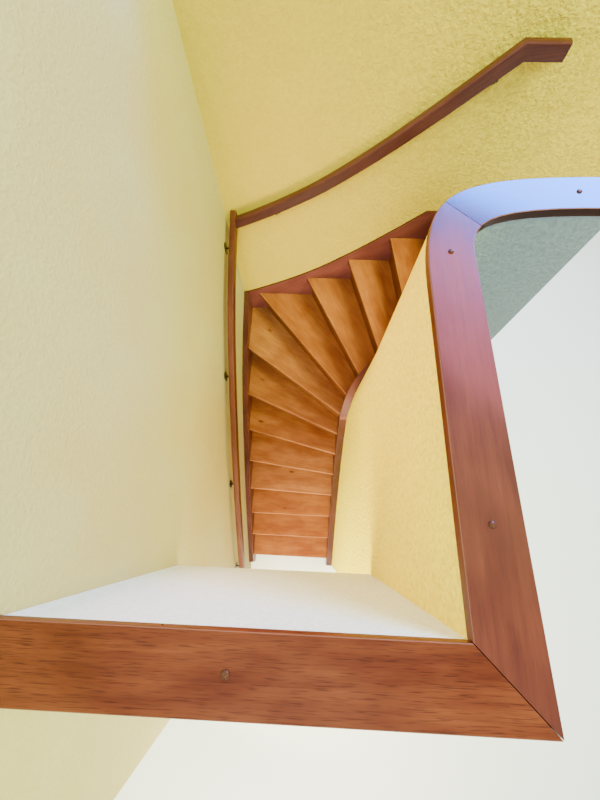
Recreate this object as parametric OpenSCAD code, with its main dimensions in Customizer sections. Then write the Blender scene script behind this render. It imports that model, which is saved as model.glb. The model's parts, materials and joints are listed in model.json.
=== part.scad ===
// Quarter-turn winder staircase in timber, standing in its plastered stairwell.
// The plan is drawn with X = 0 on the plaster of the left wall, Y = 0 on the well side of the near
// wall and Z = 0 on the lower floor. The lower flight climbs along +Y, the upper one along +X.
// Every node is then moved so that the origin lies under the middle of the whole.

/* [Flight] */
// Height of one riser
rise = 200; // [185:1:210]
// Going of each step on the walking line
going = 201; // [190:1:206]
// Clear width between the strings, the same in both flights
clear_w = 770; // [740:1:800]
// Distance of the walking line from the inner string
walk_offset = 441; // [400:1:480]
// Length of the walking line from the first nosing to the start of its curve
walk_run = 1086; // [1060:1:1110]
// Length of the inner string's face from the first nosing to the start of its curve
inner_straight = 1090; // [1060:1:1110]
// Smallest going at the inner string, in the turn
inner_going_min = 83; // [78:1:90]
// Gain in inner going from one step to the next, away from the turn
inner_going_gain = 19.5; // [18:0.5:21]
// Place of the turn, counted in steps from the first nosing
turn_step = 7.2; // [7:0.1:7.6]

/* [Treads and risers] */
// Thickness of a tread
tread_t = 38; // [30:1:45]
// Thickness of a riser board
riser_t = 18; // [12:1:24]
// Overhang of a nosing in front of its riser
nosing_overhang = 36; // [25:1:45]
// Radius of a nosing's edges
nosing_r = 9; // [4:1:14]
// Depth to which treads and risers are housed in the strings
housing = 13; // [8:1:18]
// Depth of the board that forms the landing's nosing
landing_board = 110; // [95:1:130]

/* [Strings] */
// Thickness of the two strings on the outer walls
string_t = 45; // [38:1:50]
// Thickness of the inner string, the curved stretch too
inner_string_t = 55; // [45:1:65]
// Radius of the inner string's curved face
inner_curve_r = 245; // [220:1:270]
// Height of a string's top edge over the nosings
string_margin = 52; // [40:1:70]
// Depth of a wall string under the nosings
string_drop = 320; // [305:1:360]
// Depth of the inner string under the nosings
inner_drop = 400; // [385:1:440]
// Length of the strings in front of the first nosing
string_foot = 70; // [50:1:90]
// Depth to which the far string is let into the far wall
far_inset = 32; // [0:1:36]

/* [Walls] */
// Length of the stairwell, from the near wall to the plaster of the far wall
well_l = 2015; // [1990:1:2050]
// Thickness of the two outer walls
outer_wall_t = 120; // [100:1:240]
// Thickness of the near wall, the inner wall and the parapet
wall_t = 122; // [100:1:130]
// Height of the outer walls over the upper floor
outer_wall_h = 1260; // [1000:1:1400]
// Length of the left wall in front of the near wall
left_wall_run = 640; // [180:1:800]
// Length of the far wall past the landing's nosing
far_wall_run = 850; // [300:1:1000]
// Depth of the near wall under the upper floor
apron_d = 167; // [120:1:250]
// Height of the parapet's capping over the upper floor
parapet_h = 817; // [780:1:950]
// Length of the parapet's return past the landing's nosing
return_run = 115; // [112:1:200]

/* [Parapet corner] */
// Length of the curved corner along the side wall, from the return's well face
corner_run = 387; // [370:1:400]
// Reach of the corner's curve along the side wall
corner_pull_side = 314; // [290:1:330]
// Reach of the corner's curve along the return
corner_pull_return = 98; // [85:1:120]
// Setback of the corner's curve from the return's face where it turns
corner_setback = 8; // [0:1:15]
// Height over the lower floor at which the corner starts to open out
corner_open_z = 1950; // [1850:10:2100]
// Share of the opening that is reached at the upper floor
corner_open_share = 0.8; // [0.6:0.05:0.95]
// Start of the room side's curve, past the start of the well side's
room_corner_start = 67; // [50:1:90]
// Reach of the room side's curve along the side wall, short of the return
room_pull_side = 78; // [60:1:95]
// Reach of the room side's curve along the return
room_pull_return = 8; // [4:1:20]

/* [Capping] */
// Thickness of the capping
cap_t = 28; // [20:1:40]
// Overhang of the capping on each side of the wall
cap_overhang = 3; // [2:1:15]

/* [Handrails] */
// Width of a handrail
rail_w = 42; // [36:1:50]
// Height of a handrail's section
rail_h = 62; // [50:1:70]
// Radius of a handrail's upper edges
rail_top_r = 12; // [6:1:16]
// Radius of a handrail's lower edges
rail_low_r = 5; // [3:1:8]
// Gap between a handrail and the plaster
rail_gap = 36; // [30:1:50]
// Height of the left handrail's top over the nosings at its lower end
left_rail_foot = 862; // [820:1:920]
// Height of the left handrail's top over the nosings at its upper end
left_rail_head = 815; // [780:1:880]
// Height of the far handrail's top over the nosings at its lower end
far_rail_foot = 794; // [720:1:800]
// Height of the far handrail's top over the nosings at its upper end
far_rail_head = 760; // [700:1:790]
// Length of the far handrail's level end
rail_level = 172; // [120:1:220]
// Gap between the left handrail's upper end and the far wall
rail_end_gap = 8; // [5:1:20]
// Length of the far handrail's slope past the last nosing
rail_past = 43; // [30:1:80]
// Distance of the left handrail's lower end from the string's lower end
rail_foot_gap = 10; // [0:1:40]

/* [Brackets] */
// Width of a bracket's wall plate, which ends in two half rounds
plate_w = 50; // [30:1:60]
// Height of a bracket's wall plate
plate_h = 85; // [65:1:110]
// Thickness of a bracket's wall plate
plate_t = 5; // [3:1:8]
// Radius of a bracket's arm
arm_r = 6; // [4:1:8]
// Depth of a bracket's arm under the handrail
arm_drop = 14; // [10:1:30]
// Length of the small plate under the handrail that a bracket's arm carries
saddle_l = 27; // [20:1:28]
// Width of that plate
saddle_w = 18; // [13:1:22]
// Thickness of that plate
saddle_t = 3; // [2:0.5:4]

/* [Hidden] */
RISERS = 13;
TREADS = RISERS - 1;
function two_digits(k) = str(k < 10 ? "0" : "", k);
$fn = 48;
ARC_FACETS = 96; // facets of the full circle that the inner string follows
FAR_OUT = 4000; // farther out than any face of the stair
CUT = 1; // reach of a cutter past the face that it cuts

// Levels
floor_z = RISERS * rise;
apron_z = floor_z - apron_d;
wall_top_z = floor_z + parapet_h - cap_t;
outer_top_z = floor_z + outer_wall_h;

// Faces of the strings and walls in plan
inner_x = string_t + clear_w;
well_w = inner_x + inner_string_t;
far_y = well_l + far_inset - string_t;
inner_y = far_y - clear_w;
return_y = inner_y - inner_string_t;
curve_x = inner_x + inner_curve_r;
curve_y = inner_y - inner_curve_r;
walk_start = curve_y - walk_run;
inner_start = curve_y - inner_straight;
foot_y = min(walk_start, inner_start) - string_foot;
corner_start = return_y - corner_run;

// Curve through the stair, at a distance from the inner string
function walk_point(s, off) =
  let (r = inner_curve_r + off, a = (s - curve_y) / r * 180 / PI)
  a <= 0 ? [inner_x - off, s]
  : a >= 90 ? [curve_x + s - curve_y - r * PI / 2, inner_y + off]
  : [curve_x - r * cos(a), curve_y + r * sin(a)];

// Inner goings shrink evenly towards the turn and grow evenly after it
function inner_going(j) = min(going, inner_going_min + inner_going_gain * abs(j - turn_step));
function inner_run(k) = k <= 1 ? inner_start : inner_run(k - 1) + inner_going(k - 2);
function nose_in(k) = walk_point(inner_run(k), 0);
function nose_walk(k) = walk_point(walk_start + (k - 1) * going, walk_offset);
function unit(v) = v / norm(v);
function nose_dir(k) = unit(nose_walk(k) - nose_in(k));
function nose_up(k) = [nose_dir(k)[1], -nose_dir(k)[0]];

// Run of each nosing along the outer strings, unrolled round the corner
function outer_run(k) =
  let (
    p = nose_in(k),
    d = nose_dir(k),
    to_left = d[0] < -0.001 ? (string_t - p[0]) / d[0] : FAR_OUT,
    to_far = d[1] > 0.001 ? (far_y - p[1]) / d[1] : FAR_OUT
  )
  to_left < to_far ? p[1] + to_left * d[1] : far_y + p[0] + to_far * d[0] - string_t;
OUTER_RUNS = [for (k = [1:RISERS]) outer_run(k)];
INNER_RUNS = [for (k = [1:RISERS]) inner_run(k)];
landing_x = nose_in(RISERS)[0];
string_end_x = landing_x + landing_board;
return_end_x = landing_x + return_run;
far_end_x = landing_x + far_wall_run;
room_x = well_w + wall_t;
room_y = return_y - wall_t;
cap_w = wall_t + 2 * cap_overhang;

// Smooth line over the nosings: a cubic through each of them, straight past the ends
function slope_at(runs, i) =
  let (a = max(i - 1, 0), b = min(i + 1, RISERS - 1))
  (b - a) * rise / (runs[b] - runs[a]);
function step_index(runs, s, i = 0) =
  i >= RISERS - 2 || s < runs[i + 1] ? i : step_index(runs, s, i + 1);
function pitch_z(runs, s) =
  s <= runs[0] ? rise + (s - runs[0]) * slope_at(runs, 0)
  : s >= runs[RISERS - 1] ? floor_z + (s - runs[RISERS - 1]) * slope_at(runs, RISERS - 1)
  : let (
      i = step_index(runs, s),
      w = runs[i + 1] - runs[i],
      t = (s - runs[i]) / w
    )
    (i + 1) * rise + rise * (3 * t * t - 2 * t * t * t)
      + w * slope_at(runs, i) * (t * t * t - 2 * t * t + t)
      + w * slope_at(runs, i + 1) * (t * t * t - t * t);

// Solid through a row of closed rings that all have the same number of points
module loft(rings) {
  m = len(rings[0]);
  n = len(rings);
  points = [for (ring = rings) for (p = ring) p];
  sides = [
    for (i = [0:n - 2]) for (j = [0:m - 1])
      let (a = i * m + j, b = i * m + (j + 1) % m, c = b + m, d = a + m)
      each [[a, c, b], [a, d, c]]
  ];
  first = [for (i = [0:m - 3]) ladder_step(m, i)];
  last = [for (face = first) [for (j = [2:-1:0]) (n - 1) * m + face[j]]];
  polyhedron(points, concat(first, sides, last), convexity = 6);
}

// Triangles across the end of a loft, to and fro between the two halves of its ring, so that
// an end with a hollow side stays within its outline
function ladder_point(m, i) = i % 2 == 0 ? i / 2 : m - (i + 1) / 2;
function ladder_step(m, i) =
  let (a = ladder_point(m, i), b = ladder_point(m, i + 1), c = ladder_point(m, i + 2))
  i % 2 == 0 ? [a, c, b] : [a, b, c];

// Moves the origin under the middle of the whole
module placed() {
  mid_x = (far_end_x - outer_wall_t) / 2;
  mid_y = (well_l + outer_wall_t - left_wall_run) / 2;
  translate([-mid_x, -mid_y, 0]) children();
}

// Region of the stair between the strings, widened by a housing depth
module stair_region(depth) {
  difference() {
    translate([string_t - depth, -FAR_OUT])
      square([FAR_OUT, FAR_OUT + far_y + depth]);
    inner_block(depth);
  }
}

// Everything behind the inner string's face, less a housing depth
module inner_block(depth) {
  translate([inner_x + depth, curve_y - FAR_OUT])
    square([FAR_OUT, FAR_OUT]);
  translate([curve_x, curve_y - FAR_OUT])
    square([FAR_OUT, FAR_OUT + inner_curve_r - depth]);
  translate([curve_x, curve_y])
    circle(r = inner_curve_r - depth, $fn = ARC_FACETS);
}

// Strip of plan from a nosing line to a line that lies a distance past another nosing line
module strip(k, from, k_back, to) {
  a = nose_in(k) + from * nose_up(k);
  b = nose_in(k_back) + to * nose_up(k_back);
  polygon([
    a - inner_string_t * nose_dir(k),
    a + FAR_OUT * nose_dir(k),
    b + FAR_OUT * nose_dir(k_back),
    b - inner_string_t * nose_dir(k_back)
  ]);
}

// Board edge with rounded nosing, laid along a nosing line
module nosing_profile(k, z) {
  p = nose_in(k);
  a = atan2(nose_up(k)[1], nose_up(k)[0]);
  translate([p[0], p[1], z])
    rotate([0, 0, a])
      rotate([90, 0, 0])
        linear_extrude(2 * FAR_OUT, center = true) {
          translate([nosing_r, -tread_t])
            square([FAR_OUT, tread_t]);
          translate([0, nosing_r - tread_t])
            square([nosing_r + CUT, tread_t - 2 * nosing_r]);
          for (y = [nosing_r - tread_t, -nosing_r])
            translate([nosing_r, y]) circle(r = nosing_r);
        }
}

module tread(k) {
  intersection() {
    translate([0, 0, k * rise - tread_t - CUT])
      linear_extrude(tread_t + 2 * CUT)
        intersection() {
          stair_region(housing);
          strip(k, -CUT, k + 1, nosing_overhang + riser_t);
        }
    nosing_profile(k, k * rise);
  }
}

module landing_board() {
  intersection() {
    translate([0, 0, floor_z - tread_t - CUT])
      linear_extrude(tread_t + 2 * CUT)
        intersection() {
          stair_region(housing);
          translate([0, inner_y - inner_string_t])
            square([string_end_x, clear_w + inner_string_t + string_t]);
        }
    nosing_profile(RISERS, floor_z);
  }
}

module riser(k) {
  translate([0, 0, (k - 1) * rise])
    linear_extrude(rise - tread_t)
      intersection() {
        stair_region(housing);
        strip(k, nosing_overhang, k, nosing_overhang + riser_t);
      }
}

// All boards from one step to another, as the strings' housings take them
module boards(first, last) {
  for (k = [first:last]) {
    riser(k);
    if (k < RISERS) tread(k);
    else landing_board();
  }
}

// Steps whose boards are housed in each string
LEFT_STEPS = [1, 10];
FAR_STEPS = [7, RISERS];
LOWER_STEPS = [1, 9];
WREATH_STEPS = [5, RISERS];
UPPER_STEPS = [9, RISERS];
STRING_STEP = 45; // run between two points of a string's edge
WREATH_PARTS = 18; // pieces of the curved string in plan

// Side view of a string: a band along the pitch, cut level at the floor and at the landing
module string_outline(runs, s_from, s_to, shift, drop) {
  parts = ceil((s_to - s_from) / STRING_STEP);
  steps = [for (i = [0:parts]) s_from + (s_to - s_from) * i / parts];
  intersection() {
    polygon(concat(
      [for (s = steps) [s + shift, pitch_z(runs, s) + string_margin]],
      [for (i = [parts:-1:0]) [steps[i] + shift, pitch_z(runs, steps[i]) - drop]]
    ));
    translate([s_from + shift, 0])
      square([s_to - s_from, floor_z]);
  }
}

module string_left() {
  difference() {
    rotate([90, 0, 90])
      linear_extrude(string_t)
        string_outline(OUTER_RUNS, foot_y, far_y, 0, string_drop);
    boards(LEFT_STEPS[0], LEFT_STEPS[1]);
  }
}

// Far string before it is housed, which also shapes its recess in the wall
module far_string_board() {
  unroll = string_t - far_y;
  translate([0, far_y + string_t, 0])
    rotate([90, 0, 0])
      linear_extrude(string_t)
        string_outline(OUTER_RUNS, -unroll, string_end_x - unroll, unroll, string_drop);
}

module string_far() {
  difference() {
    far_string_board();
    boards(FAR_STEPS[0], FAR_STEPS[1]);
  }
}

module string_inner_lower() {
  difference() {
    translate([inner_x, 0, 0])
      rotate([90, 0, 90])
        linear_extrude(inner_string_t)
          string_outline(INNER_RUNS, foot_y, curve_y, 0, inner_drop);
    boards(LOWER_STEPS[0], LOWER_STEPS[1]);
  }
}

module string_inner_upper() {
  arc = inner_curve_r * PI / 2;
  unroll = curve_x - curve_y - arc;
  difference() {
    translate([0, inner_y, 0])
      rotate([90, 0, 0])
        linear_extrude(inner_string_t)
          string_outline(INNER_RUNS, curve_y + arc, string_end_x - unroll, unroll, inner_drop);
    boards(UPPER_STEPS[0], UPPER_STEPS[1]);
  }
}

// Curved stretch of the inner string, rising round the turn; the flats of its back stay
// clear of the round wall behind them
module string_inner_wreath() {
  arc = inner_curve_r * PI / 2;
  wreath_back_r = (inner_curve_r - inner_string_t) / cos(45 / WREATH_PARTS) + 0.05;
  rings = [
    for (i = [0:WREATH_PARTS])
      let (
        a = 90 * i / WREATH_PARTS,
        z = pitch_z(INNER_RUNS, curve_y + arc * i / WREATH_PARTS),
        r_back = i == 0 || i == WREATH_PARTS ? inner_curve_r - inner_string_t : wreath_back_r,
        face = [curve_x - inner_curve_r * cos(a), curve_y + inner_curve_r * sin(a)],
        back = [curve_x - r_back * cos(a), curve_y + r_back * sin(a)]
      )
      [
        [back[0], back[1], z - inner_drop],
        [back[0], back[1], z + string_margin],
        [face[0], face[1], z + string_margin],
        [face[0], face[1], z - inner_drop]
      ]
  ];
  difference() {
    loft(rings);
    boards(WREATH_STEPS[0], WREATH_STEPS[1]);
  }
}

// Curves of the inner wall's corner in plan
function bezier(p, t) =
  pow(1 - t, 3) * p[0] + 3 * pow(1 - t, 2) * t * p[1] + 3 * (1 - t) * t * t * p[2] + t * t * t * p[3];
function bezier_dir(p, t) = unit(bezier(p, min(t + 0.01, 1)) - bezier(p, max(t - 0.01, 0)));
function bezier_side(p, t, off) =
  bezier(p, t) + off * [-bezier_dir(p, t)[1], bezier_dir(p, t)[0]];
WELL_CURVE = [
  [well_w, corner_start],
  [well_w, corner_start + corner_pull_side],
  [well_w + corner_pull_return, return_y - corner_setback],
  [return_end_x, return_y]
];

// Edge of the capping on the room side, with a much tighter corner
ROOM_CURVE = [
  [room_x + cap_overhang, corner_start + room_corner_start],
  [room_x + cap_overhang, room_y - cap_overhang - room_pull_side],
  [room_x + cap_overhang + room_pull_return, room_y - cap_overhang],
  [return_end_x, room_y - cap_overhang]
];
CURVE_PARTS = 20; // pieces of the well side's curve
ROOM_PARTS = 12; // pieces of the room side's curve
WELL_CUTS = [7, 12]; // points of each curve between which the wall is parted
ROOM_CUTS = [4, 6];
function room_point(i) = bezier_side(ROOM_CURVE, i / ROOM_PARTS, cap_overhang);

// Bearing on the round wall of the plane through two such points
wall_r = inner_curve_r - inner_string_t;
function cut_bearing(n) =
  let (
    from = room_point(ROOM_CUTS[n]),
    u = unit(bezier(WELL_CURVE, WELL_CUTS[n] / CURVE_PARTS) - from),
    w = from - [curve_x, curve_y],
    q = w + (sqrt((w * u) * (w * u) - w * w + wall_r * wall_r) - w * u) * u
  )
  atan2(q[1], -q[0]);

// Well face low down: straight, round behind the curved string, straight
function between(i, from, to) = (i - from) / (to - from);
function foot_bearing(i) =
  i <= WELL_CUTS[0] ? cut_bearing(0) * between(i, 1, WELL_CUTS[0])
  : i <= WELL_CUTS[1]
  ? cut_bearing(0) + (cut_bearing(1) - cut_bearing(0)) * between(i, WELL_CUTS[0], WELL_CUTS[1])
  : cut_bearing(1) + (90 - cut_bearing(1)) * between(i, WELL_CUTS[1], CURVE_PARTS - 1);
function foot_curve(i) =
  let (a = foot_bearing(i))
  i == 0 ? WELL_CURVE[0]
  : i == CURVE_PARTS ? WELL_CURVE[3]
  : [curve_x - wall_r * cos(a), curve_y + wall_r * sin(a)];
function well_point(i, open) =
  (1 - open) * foot_curve(i) + open * bezier(WELL_CURVE, i / CURVE_PARTS);

// Part of the curved wall over the lower corner: it opens out fast to the upper floor, then
// slowly
module corner_segment(well_from, well_to, room_from, room_to, tail) {
  loft([
    for (level = [[corner_open_z, 0], [floor_z, corner_open_share], [wall_top_z, 1]])
      [
        for (
          p = concat(
            [for (i = [well_from:well_to]) well_point(i, level[1])],
            room_to == ROOM_PARTS ? tail : [room_point(room_to)],
            [for (i = [room_to - 1:-1:room_from + 1]) room_point(i)],
            room_from == 0 ? tail : [room_point(room_from)]
          )
        )
          [p[0], p[1], level[0]]
      ]
  ]);
}

// Whole outline of the capping, before it is cut into its three lengths
module capping_outline() {
  polygon(concat(
    [[0, cap_overhang - cap_w]],
    [[0, cap_overhang]],
    [[well_w - cap_overhang, cap_overhang]],
    [for (i = [0:CURVE_PARTS]) bezier_side(WELL_CURVE, i / CURVE_PARTS, cap_overhang)],
    [[return_end_x + cap_overhang, return_y + cap_overhang]],
    [[return_end_x + cap_overhang, room_y - cap_overhang]],
    [for (i = [ROOM_PARTS:-1:0]) bezier(ROOM_CURVE, i / ROOM_PARTS)],
    [[room_x + cap_overhang, cap_overhang - cap_w]]
  ));
}

// Length of capping between two joints, each cut on a line where X + Y is constant
module capping_length(from, to) {
  translate([0, 0, wall_top_z])
    linear_extrude(cap_t)
      intersection() {
        capping_outline();
        polygon([
          [from / 2 - FAR_OUT, from / 2 + FAR_OUT],
          [from / 2 + FAR_OUT, from / 2 - FAR_OUT],
          [to / 2 + FAR_OUT, to / 2 - FAR_OUT],
          [to / 2 - FAR_OUT, to / 2 + FAR_OUT]
        ]);
      }
}
mitre_sum = well_w;
joint_point = bezier(ROOM_CURVE, 0.4); // where the corner turns
joint_sum = joint_point[0] + joint_point[1];

// Line of a handrail in its own side view, along the wall and up, from one height over the
// nosings to another
function rail_line(foot, head, s_from, s_to, parts, shift) =
  [
    for (i = [0:parts])
      let (t = i / parts, s = s_from + (s_to - s_from) * t)
      [s + shift, pitch_z(OUTER_RUNS, s) + foot + (head - foot) * t]
  ];

// Upright of the section at each point of the line, long enough to keep its height at a bend
function rail_up(line, i) =
  let (last = len(line) - 1)
  i == 0 || i == last
  ? let (d = unit(i == 0 ? line[1] - line[0] : line[last] - line[last - 1])) [0, 1 / d[0]]
  : let (
      d = unit(line[i] - line[i - 1]),
      e = unit(line[i + 1] - line[i]),
      n = [-d[1] - e[1], d[0] + e[0]]
    )
    n * 2 / (n * n);

// Rounded rectangle seen along the rail, with its top at 0
RAIL_SECTION = concat(
  [for (a = [0:30:90]) [rail_w - rail_top_r + rail_top_r * cos(a), -rail_top_r + rail_top_r * sin(a)]],
  [for (a = [90:30:180]) [rail_top_r + rail_top_r * cos(a), -rail_top_r + rail_top_r * sin(a)]],
  [for (a = [180:45:270]) [rail_low_r + rail_low_r * cos(a), rail_low_r - rail_h + rail_low_r * sin(a)]],
  [for (a = [270:45:360]) [rail_w - rail_low_r + rail_low_r * cos(a), rail_low_r - rail_h + rail_low_r * sin(a)]]
);
module rail(line) {
  loft([
    for (i = [0:len(line) - 1])
      let (up = rail_up(line, i))
      [for (q = RAIL_SECTION) [line[i][0] + up[0] * q[1], q[0], line[i][1] + up[1] * q[1]]]
  ]);
}

LEFT_PARTS = 30;
FAR_PARTS = 20;
rail_front = rail_gap + rail_w;
left_from = foot_y + rail_foot_gap;
far_from = far_y + rail_front - string_t;
far_to = OUTER_RUNS[RISERS - 1] + rail_past;
left_to = well_l - rail_end_gap;
LEFT_LINE = rail_line(left_rail_foot, left_rail_head, left_from, left_to, LEFT_PARTS, 0);
FAR_SLOPE = rail_line(far_rail_foot, far_rail_head, far_from, far_to, FAR_PARTS, string_t - far_y);
FAR_LINE = concat(FAR_SLOPE, [FAR_SLOPE[FAR_PARTS] + [rail_level, 0]]);
LEFT_BRACKETS = [0.2, 8.2, 17.2, 27.4]; // places of the brackets, in pieces of each rail's line
FAR_BRACKETS = [3.6, 18.7];

module handrail_left() {
  translate([rail_front, 0, 0])
    rotate([0, 0, 90])
      rail(LEFT_LINE);
}

module handrail_far() {
  translate([0, well_l - rail_front, 0])
    rail(FAR_LINE);
}

// Underside of a handrail as pairs of run and height
function rail_under(line) =
  [for (i = [0:len(line) - 1]) line[i] - rail_h * rail_up(line, i)];

// Plate with two half round ends
module plate_outline(l, w) {
  square([w, l - w], center = true);
  for (side = [-1, 1])
    translate([0, side * (l - w) / 2]) circle(d = w);
}

// Bracket in the rail's side view: X along the wall, Y out of it, Z up
module bracket(line, place) {
  under = rail_under(line);
  part = floor(place);
  piece = under[part + 1] - under[part];
  foot = under[part] + (place - part) * piece;
  slope = atan2(piece[1], piece[0]);
  out = rail_gap + rail_w / 2;
  translate([foot[0], 0, foot[1]]) {
    translate([0, 0, -arm_drop]) {
      rotate([-90, 0, 0]) linear_extrude(plate_t) plate_outline(plate_h, plate_w);
      rotate([-90, 0, 0]) cylinder(r = arm_r, h = out);
      translate([0, out, 0]) sphere(r = arm_r);
    }
    difference() {
      translate([0, out, -arm_drop]) cylinder(r = arm_r, h = arm_drop + 2 * arm_r);
      rotate([0, -slope, 0])
        translate([-rail_h, 0, 0]) cube([2 * rail_h, 2 * out, rail_h]);
    }
    rotate([0, -slope, 0])
      translate([0, out, -saddle_t])
        rotate([0, 0, 90])
          linear_extrude(saddle_t) plate_outline(saddle_l, saddle_w);
  }
}

module brackets_left() {
  for (place = LEFT_BRACKETS)
    rotate([0, 0, 90])
      mirror([0, 1, 0]) bracket(LEFT_LINE, place);
}

module brackets_far() {
  for (place = FAR_BRACKETS)
    translate([0, well_l, 0])
      mirror([0, 1, 0]) bracket(FAR_LINE, place);
}

module left_wall() {
  translate([-outer_wall_t, -left_wall_run, 0])
    cube([outer_wall_t, left_wall_run + well_l, outer_top_z]);
}

module far_wall() {
  difference() {
    translate([-outer_wall_t, well_l, 0])
      cube([far_end_x + outer_wall_t, outer_wall_t, outer_top_z]);
    far_string_board();
  }
}

module near_wall() {
  translate([0, -wall_t, apron_z])
    cube([room_x, wall_t, wall_top_z - apron_z]);
}

// Straight length of the inner wall, from the floor to the capping
module inner_wall() {
  translate([well_w, 0, 0])
    rotate([90, 0, 90])
      linear_extrude(wall_t)
        polygon([
          [foot_y, 0], [corner_start, 0], [corner_start, wall_top_z],
          [0, wall_top_z], [0, apron_z], [foot_y, apron_z]
        ]);
}

// Lower corner: it follows the curved string, so both are struck from one centre
module inner_wall_corner() {
  linear_extrude(corner_open_z)
    difference() {
      intersection() {
        inner_block(inner_string_t);
        translate([well_w, corner_start])
          square([return_end_x - well_w, return_y - corner_start]);
      }
      translate([room_x, corner_start - CUT])
        square([return_end_x, room_y - corner_start + CUT]);
    }
}

plaster_inner = [0.93, 0.86, 0.62];
plaster_outer = [0.90, 0.83, 0.58];
plaster_near = [0.90, 0.89, 0.82];
tread_wood = [0.80, 0.52, 0.25];
string_wood = [0.52, 0.22, 0.13];
rail_wood = [0.58, 0.32, 0.20];
cap_wood = [0.60, 0.29, 0.20];
bracket_metal = [0.12, 0.10, 0.09];

placed() color(plaster_outer) left_wall();
placed() color(plaster_outer) far_wall();
placed() color(plaster_near) near_wall();
placed() color(plaster_inner) inner_wall();
placed() color(plaster_inner) inner_wall_corner();
placed() color(plaster_inner) corner_segment(0, WELL_CUTS[0], 0, ROOM_CUTS[0], [[room_x, corner_start]]);  // corner_side
placed() color(plaster_inner) corner_segment(WELL_CUTS[0], WELL_CUTS[1], ROOM_CUTS[0], ROOM_CUTS[1], []);  // corner_turn
placed() color(plaster_inner) corner_segment(WELL_CUTS[1], CURVE_PARTS, ROOM_CUTS[1], ROOM_PARTS, [[return_end_x, room_y]]);  // corner_return
placed() color(cap_wood) capping_length(-FAR_OUT, mitre_sum);  // capping_front
placed() color(cap_wood) capping_length(mitre_sum, joint_sum);  // capping_side
placed() color(cap_wood) capping_length(joint_sum, 2 * FAR_OUT);  // capping_return
placed() color(string_wood) string_left();
placed() color(string_wood) string_far();
placed() color(string_wood) string_inner_lower();
placed() color(string_wood) string_inner_wreath();
placed() color(string_wood) string_inner_upper();
for (k = [1:TREADS])
  placed() color(tread_wood) tread(k);
placed() color(tread_wood) landing_board();  // landing_nosing
for (k = [1:RISERS])
  placed() color(tread_wood) riser(k);
placed() color(rail_wood) handrail_left();
placed() color(rail_wood) handrail_far();
placed() color(bracket_metal) brackets_left();
placed() color(bracket_metal) brackets_far();
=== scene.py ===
"""Looks of a quarter-turn winder staircase that stands in its plastered stairwell.

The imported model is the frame. This script copies its nodes where their edges need easing, gives
every node and piece a finish, adds the capping's screws and pin, and sets the floor, the lights
and the camera.
"""

from __future__ import annotations

import json
import logging
import math
from collections.abc import Callable, Sequence
from dataclasses import dataclass, field, replace
from enum import Enum

import bmesh
import bpy
import numpy as np
from mathutils import Matrix, Vector

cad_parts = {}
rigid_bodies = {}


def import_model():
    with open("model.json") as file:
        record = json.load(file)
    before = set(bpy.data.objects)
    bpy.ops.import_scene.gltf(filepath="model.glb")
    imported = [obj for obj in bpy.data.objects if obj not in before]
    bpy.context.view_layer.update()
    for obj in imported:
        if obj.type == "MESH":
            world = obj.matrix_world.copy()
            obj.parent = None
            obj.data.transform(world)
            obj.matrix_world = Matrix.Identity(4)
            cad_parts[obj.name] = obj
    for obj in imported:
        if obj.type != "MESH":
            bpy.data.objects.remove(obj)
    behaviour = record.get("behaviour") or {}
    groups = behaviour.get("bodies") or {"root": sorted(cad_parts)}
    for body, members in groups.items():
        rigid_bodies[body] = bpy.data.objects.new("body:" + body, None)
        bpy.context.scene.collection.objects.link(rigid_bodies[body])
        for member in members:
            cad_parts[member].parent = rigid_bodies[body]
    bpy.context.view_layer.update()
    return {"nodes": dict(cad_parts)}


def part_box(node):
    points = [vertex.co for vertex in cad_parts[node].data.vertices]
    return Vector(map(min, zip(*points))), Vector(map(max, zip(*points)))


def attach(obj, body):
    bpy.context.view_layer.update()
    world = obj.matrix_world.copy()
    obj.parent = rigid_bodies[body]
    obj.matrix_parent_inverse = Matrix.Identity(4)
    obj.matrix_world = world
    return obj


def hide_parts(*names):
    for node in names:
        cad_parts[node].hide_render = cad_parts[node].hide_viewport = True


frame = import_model()

LOG = logging.getLogger("staircase")
BODY = "root"

Colour = tuple[float, float, float]
Triple = tuple[float, float, float]
Range = tuple[float, float]
Numbers = Sequence[float]
Object = bpy.types.Object
Material = bpy.types.Material
Edge = bmesh.types.BMEdge
Face = bmesh.types.BMFace
Socket = bpy.types.NodeSocket
Value = Socket | float | Numbers
Inputs = dict[str | int, Value]

ZERO: Triple = (0.0, 0.0, 0.0)


class Slot(Enum):
    """Material slots of the record that the pieces take their finish from."""

    YELLOW_PLASTER = "yellow_plaster"
    TREAD_WOOD = "tread_wood"
    STRING_WOOD = "string_wood"
    RAIL_WOOD = "rail_wood"
    CAPPING_WOOD = "capping_wood"
    BRACKET_METAL = "bracket_metal"


class Coordinates(Enum):
    """Where a finish takes its pattern from."""

    OBJECT = "Object"
    UV = "UV"


# Nodes of the materials


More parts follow.
